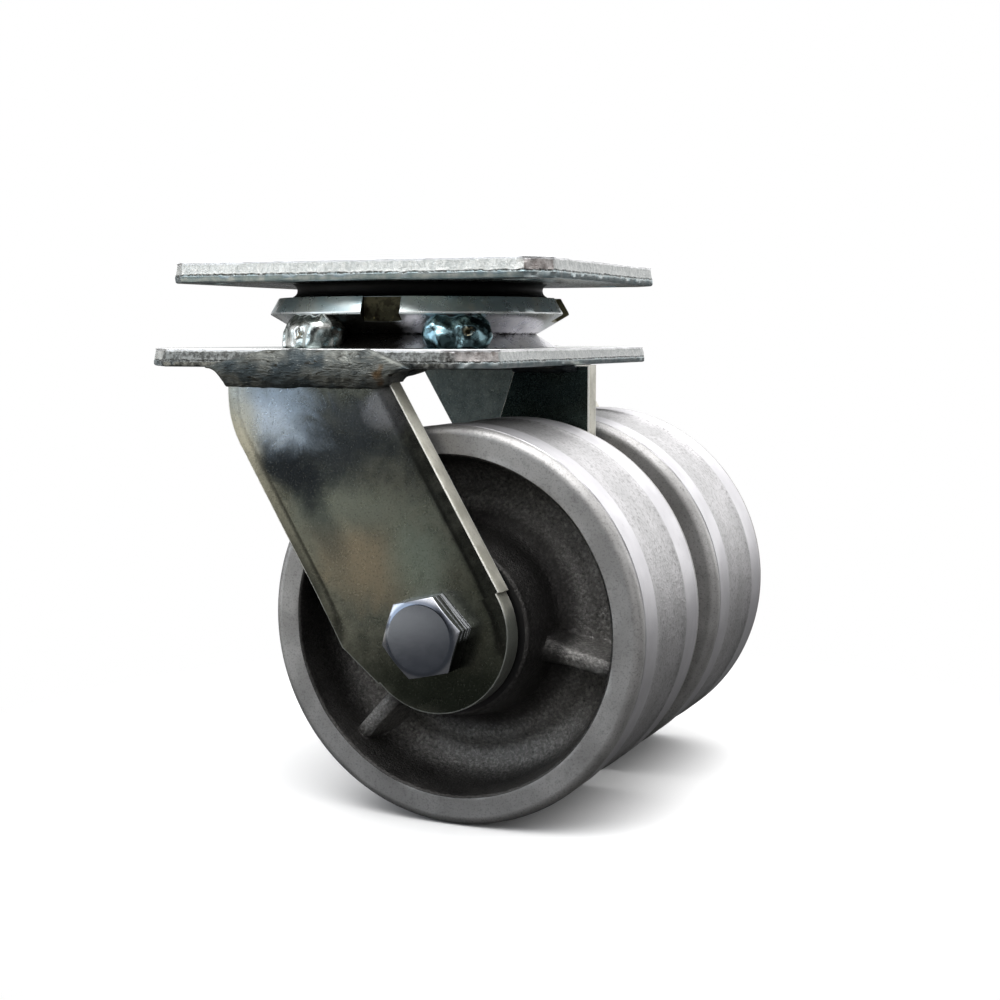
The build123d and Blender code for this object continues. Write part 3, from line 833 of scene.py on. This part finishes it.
def run_out(place):
    """Flattens a weld's end toward the underside of the base plate over its last centimetre."""
    if place.z < base_under_z:
        left = max(0.0, min(1.0, (weld_end_x - place.x) / (RUN_OUT_LENGTH * MM)))
        place.z = base_under_z + (place.z - base_under_z) * (0.12 + 0.88 * left ** 0.7)
    return 0.0


def bead_shape(angle):
    """Shape of a race weld at that angle: fullest at half height, with a small crater in its face."""
    outward = Vector((math.cos(math.radians(angle)), math.sin(math.radians(angle)), 0))
    sideways = Vector((-outward.y, outward.x, 0))
    low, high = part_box("race_weld_1")[0].z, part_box("race_weld_1")[1].z
    crater = outward * CRATER_OUT * MM + sideways * CRATER_ASIDE * MM
    crater.z = low + 0.45 * (high - low)

    def shape(place):
        share = (place.z - low) / (high - low) * 2 - 1
        slip = place.dot(sideways)
        place -= sideways * slip * (0.30 if share > 0 else 0.16) * min(1.0, abs(share)) ** 2
        reach = (1.7 + 1.3 * noise.noise(place / (1.6 * MM))) * MM
        near = max(0.0, 1 - (place - crater).length / reach)
        place -= outward * (CRATER_DEPTH * MM * near ** 0.8)
        return near

    return shape


def melted_copy(node, name, finish, voxel, swell, waves, shape=None):
    """A weld: the CAD node's form melted smooth, then raised into lumps by waves of (size, height)."""
    source = bpy.data.objects.new(name + "_source", frame["nodes"][node].data.copy())
    bpy.context.scene.collection.objects.link(source)
    remesh = source.modifiers.new("melt", "REMESH")
    remesh.mode = "VOXEL"
    remesh.voxel_size = voxel * MM
    soften = source.modifiers.new("soften", "SMOOTH")
    soften.factor = 0.5
    soften.iterations = 8
    graph = bpy.context.evaluated_depsgraph_get()
    mesh = bpy.data.meshes.new_from_object(source.evaluated_get(graph))
    bpy.data.objects.remove(source)
    moves = []
    for vertex in mesh.vertices:
        rise = swell
        for size, height in waves:
            rise += height * noise.noise(vertex.co / (size * MM))
        moves.append(vertex.normal * (rise * MM))
    for vertex, move in zip(mesh.vertices, moves):
        vertex.co += move
    if shape:
        pits = mesh.attributes.new("pit", "FLOAT", "POINT")
        for vertex in mesh.vertices:
            pits.data[vertex.index].value = shape(vertex.co)
    return dress(name, mesh, [finish], node, smooth=180)


for number in range(1, 5):
    low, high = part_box(f"race_weld_{number}")
    middle = (low + high) / 2
    turn = math.degrees(math.atan2(middle.y, middle.x))
    melted_copy(f"race_weld_{number}", f"race_weld_bead_{number}", weld, 0.35, 0.3, [(6.0, 1.4), (2.7, 0.55)],
                shape=bead_shape(turn))
for side in ("near", "far"):
    melted_copy(f"{side}_leg_weld", f"{side}_leg_weld_smear", smear, 0.35, 0.12, [(6.0, 0.3), (1.8, 0.16)],
                shape=run_out)
    melted_copy(f"{side}_centre_weld", f"{side}_centre_weld_bead", smear, 0.35, 0.2, [(4.0, 0.6), (1.8, 0.2)])


# The wheel, in millimetres and degrees.
HALF = (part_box("near_rim")[1].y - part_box("near_rim")[0].y) / MM / 2
WHEEL_R = 50.8
GROOVE = 0.5
BORE_R = 15.08
HUB_FACE_R = 21.4
HUB_ROUND = 1.0
CAST_FROM_R = 22.3
SWELL_TO_R = 43
RIB_TO_R = 43.4
RIM_LIP_ROUND = 0.7
TREAD_ROUND = 2.3
TURN_STEP = 2.25
RIB_TURN_STEP = 0.45
RIB_TURN_STEPS = 18
CAST_WAVES = [(7, 0.22), (2.2, 0.08)]
RIB_ANGLES = [-12, 108, 228]
RIB_TOP = HALF - 5.6
WEB_Z = HALF - 17.3
HUB_END = (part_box("near_hub")[1].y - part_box("near_hub")[0].y) / MM / 2


def arc(centre, radius, start, end, count):
    """Points on an arc, from one angle to another in degrees."""
    return [(centre[0] + radius * math.cos(math.radians(start + (end - start) * k / count)),
             centre[1] + radius * math.sin(math.radians(start + (end - start) * k / count)))
            for k in range(count + 1)]


def run(start, end, count):
    """Evenly spaced points on a straight line."""
    return [(start[0] + (end[0] - start[0]) * k / count, start[1] + (end[1] - start[1]) * k / count)
            for k in range(count + 1)]


def swept(points, count):
    """Smooth curve through a bend, from three control points."""
    a, b, c = [Vector(p) for p in points]
    shares = [k / count for k in range(count + 1)]
    return [tuple(a * (1 - t) ** 2 + b * 2 * t * (1 - t) + c * t ** 2) for t in shares]


def wheel_side():
    """Half of the wheel's profile as (radius, height, finish), from the bore to the middle of the tread."""
    cuts = [
        (1, run((BORE_R, HUB_END), (HUB_FACE_R, HUB_END), 4)),
        (0, arc((HUB_FACE_R, HUB_END - HUB_ROUND), HUB_ROUND, 90, 8, 4)),
        (0, run((22.42, HUB_END - 1.4), (24.6, HALF - 12.2), 8)),
        (0, swept([(24.6, HALF - 12.2), (25.8, WEB_Z + 2.4), (28.4, WEB_Z + 2.1)], 7)),
        (0, swept([(28.4, WEB_Z + 2.1), (32.0, WEB_Z + 1.6), (33.4, WEB_Z + 0.5)], 6)),
        (0, swept([(33.4, WEB_Z + 0.5), (35.2, WEB_Z - 0.7), (37.6, WEB_Z + 0.5)], 7)),
        (0, swept([(37.6, WEB_Z + 0.5), (41.6, WEB_Z + 2.6), (42.2, HALF - 8.0)], 10)),
        (0, run((42.25, HALF - 7.2), (43.0, HALF - 0.7), 7)),
        (0, arc((43.7, HALF - RIM_LIP_ROUND), RIM_LIP_ROUND, 180, 90, 3)),
        (3, run((44.2, HALF), (WHEEL_R - TREAD_ROUND, HALF), 4)),
        (3, arc((WHEEL_R - TREAD_ROUND, HALF - TREAD_ROUND), TREAD_ROUND, 88, 4, 8)),
        (3, run((WHEEL_R, HALF - 2.5), (WHEEL_R, HALF - 2.9), 1)),
        (0, run((WHEEL_R - GROOVE, HALF - 3.05), (WHEEL_R - GROOVE, HALF - 3.8), 2)),
        (1, run((WHEEL_R - 0.05, HALF - 4.0), (WHEEL_R, HALF - 12.6), 5)),
        (2, swept([(WHEEL_R - 0.05, HALF - 13.2), (WHEEL_R - 0.5, HALF - 14.2),
                   (WHEEL_R - 0.55, HALF - 16.4)], 5)),
        (2, run((WHEEL_R - 0.58, HALF - 17.5), (WHEEL_R - 0.6, 0), 4)),
    ]
    points = []
    for finish, cut in cuts:
        for point in cut:
            if not points or math.dist(point, points[-1][:2]) > 0.02:
                points.append((*point, finish))
    return points


def rib_rise(radius, angle):
    """Height of the nearest rib's skin over the middle plane, or a low value away from it."""
    off = min(abs((angle - a + 180) % 360 - 180) for a in RIB_ANGLES)
    across = radius * math.sin(math.radians(min(off, 90)))
    crown = 1.9
    hub_fillet = max(0.0, 31 - radius) * 0.16
    return RIB_TOP - max(0.0, across - crown - hub_fillet) ** 1.2 * 4.2 - 0.28 * across ** 2 / crown


def joined_height(one, other, reach):
    """The larger of two heights, with a fillet of about that reach where they meet."""
    mix = max(0.0, min(1.0, 0.5 + 0.5 * (one - other) / reach))
    return other + (one - other) * mix + reach * mix * (1 - mix)


def wheel_piece(side):
    """One wheel as a single casting: the profile turned about the axle, with its ribs raised."""
    low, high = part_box(f"{side}_rim")
    middle = (low + high) / 2
    half = wheel_side()
    grooved = [abs(r - WHEEL_R + GROOVE) < 0.01 and f == 0 for r, h, f in half]
    plain_back = [(WHEEL_R, h, 1) if cut else (r, h, f) for (r, h, f), cut in zip(half, grooved)]
    ring = half + [(r, -h, f) for r, h, f in reversed(plain_back[:-1])]
    even = {round(k * TURN_STEP, 3) for k in range(round(360 / TURN_STEP))}
    at_ribs = {round((a + RIB_TURN_STEP * k) % 360, 3) for a in RIB_ANGLES
               for k in range(-RIB_TURN_STEPS, RIB_TURN_STEPS + 1)}
    angles = sorted(even | at_ribs)
    form = bmesh.new()
    grid = []
    for angle in angles:
        column = []
        for radius, height, finish in ring:
            sign = 1 if height >= 0 else -1
            rise = abs(height)
            wander = 0.0
            if finish == 0 and radius > CAST_FROM_R:
                if radius < RIB_TO_R:
                    rise = joined_height(rise, rib_rise(radius, angle), 1.6)
                turned_by = math.radians(angle)
                place = Vector((radius * math.cos(turned_by), radius * math.sin(turned_by), height))
                wander = sum(tall * noise.noise(place / wide) for wide, tall in CAST_WAVES)
            reach = radius + wander * (1 if radius < SWELL_TO_R else 0)
            column.append(form.verts.new((
                middle.x + reach * MM * math.cos(math.radians(angle)),
                middle.y - sign * (rise + wander) * MM,
                middle.z + reach * MM * math.sin(math.radians(angle)),
            )))
        grid.append(column)
    for k, column in enumerate(grid):
        after = grid[(k + 1) % len(grid)]
        for j in range(len(ring)):
            m = (j + 1) % len(ring)
            face = form.faces.new((column[j], column[m], after[m], after[j]))
            face.material_index = ring[m][2] if m < len(half) else ring[j][2]
    return dress(f"{side}_wheel_casting", as_mesh(f"{side}_wheel", form), [cast, machined, rough, rim_grey],
                 f"{side}_rim", f"{side}_web", f"{side}_hub", smooth=40)


wheel_piece("near")
wheel_piece("far")

for name, node in frame["nodes"].items():
    if not node.hide_render:
        node.data.materials.clear()
        node.data.materials.append(slot_finishes[node_slots[name]])
        for face in node.data.polygons:
            face.use_smooth = True
        node.data.set_sharp_from_angle(angle=math.radians(30))


def studio_floor():
    """Paper floor: pale where the camera sees it, darker in reflections except a painted pool of light to the
    front left, and white away from the shadow.
    """
    low = cad_box[0]
    reach = 6.0
    mesh = bpy.data.meshes.new("studio_floor")
    corners = [(-reach, -reach), (reach, -reach), (reach, reach), (-reach, reach)]
    mesh.from_pydata([(x, y, low.z - 0.0002) for x, y in corners], [], [(0, 1, 2, 3)])
    finish = Finish("floor_paper", Roughness=1.0)
    finish.set(Specular_IOR_Level=0.0)
    seen = finish.add("ShaderNodeLightPath", "Is Camera Ray")
    away = finish.vector("DISTANCE", finish.place(), (axle.x, 0, low.z), "Value").ramp(0.075, 0.19)
    # A painted pool of light on the floor, seen only in reflections and bounced light.
    pool = finish.vector("DISTANCE", finish.place(), (-0.42, -0.42, low.z), "Value").ramp(0.42, 0.18)
    unseen = finish.blend(pool, (0.06, 0.06, 0.06), (0.62, 0.58, 0.50))
    finish.set(Base_Color=finish.blend(seen, unseen, (0.92, 0.92, 0.92)))
    glow = finish.add("ShaderNodeEmission", Color=(1.0, 1.0, 1.0))
    mix = finish.tree.nodes.new("ShaderNodeMixShader")
    feed(finish.tree, mix.inputs[0], away * seen)
    finish.tree.links.new(finish.surface.outputs[0], mix.inputs[1])
    finish.tree.links.new(glow.socket, mix.inputs[2])
    finish.tree.links.new(mix.outputs[0], finish.tree.nodes["Material Output"].inputs["Surface"])
    mesh.materials.append(finish.material)
    floor = bpy.data.objects.new("studio_floor", mesh)
    bpy.context.scene.collection.objects.link(floor)


def studio_surround():
    """Dim room: white wall behind, soft panels above and front left, white where the camera looks at it."""
    world = bpy.data.worlds.new("studio")
    bpy.context.scene.world = world
    world.use_nodes = True
    tree = world.node_tree
    graph = Graph(tree)
    toward = graph.vector("NORMALIZE", graph.add("ShaderNodeTexCoord", "Generated"), (0, 0, 0))

    def panel(turn, rise, outer, inner, strength):
        """A round soft panel, placed by degrees from the back wall and above the floor."""
        across, up = math.radians(turn), math.radians(rise)
        aim = (math.sin(across) * math.cos(up), math.cos(across) * math.cos(up), math.sin(up))
        facing = graph.vector("DOT_PRODUCT", toward, aim, "Value")
        return facing.ramp(math.cos(math.radians(outer)), math.cos(math.radians(inner))) * strength

    plain = (panel(10, 18, 74, 28, 1.45) + panel(60, 85, 55, 25, 2.0) + panel(-95, 8, 30, 16, 0.6)
             + panel(-155, 50, 34, 18, 1.3) + panel(130, 22, 42, 18, 0.7)
             + panel(180, 70, 34, 16, 2.2) + 0.03)
    blue = panel(-130, 10, 23, 14, 1.9)
    light = graph.vector("ADD", plain, graph.vector("MULTIPLY", blue, (0.80, 0.90, 1.0)))
    seen = graph.add("ShaderNodeLightPath", "Is Camera Ray")
    feed(tree, tree.nodes["Background"].inputs["Color"], graph.blend(seen, light, (1.0, 1.0, 1.0)))


def photo_camera():
    """Camera where the photo was taken from: tilted down and turned, in radians."""
    tilt = 0.102
    turn = 0.412
    data = bpy.data.cameras.new("camera")
    data.lens = 58.28
    data.sensor_width = 36.0
    data.clip_start = 0.01
    data.clip_end = 50.0
    camera = bpy.data.objects.new("camera", data)
    camera.location = (0.208086, -0.419276, -0.019611)
    camera.rotation_euler = (math.pi / 2 - tilt, 0.0, turn)
    bpy.context.scene.collection.objects.link(camera)
    bpy.context.scene.camera = camera


studio_floor()
studio_surround()
photo_camera()
bpy.context.scene.view_settings.view_transform = "Standard"
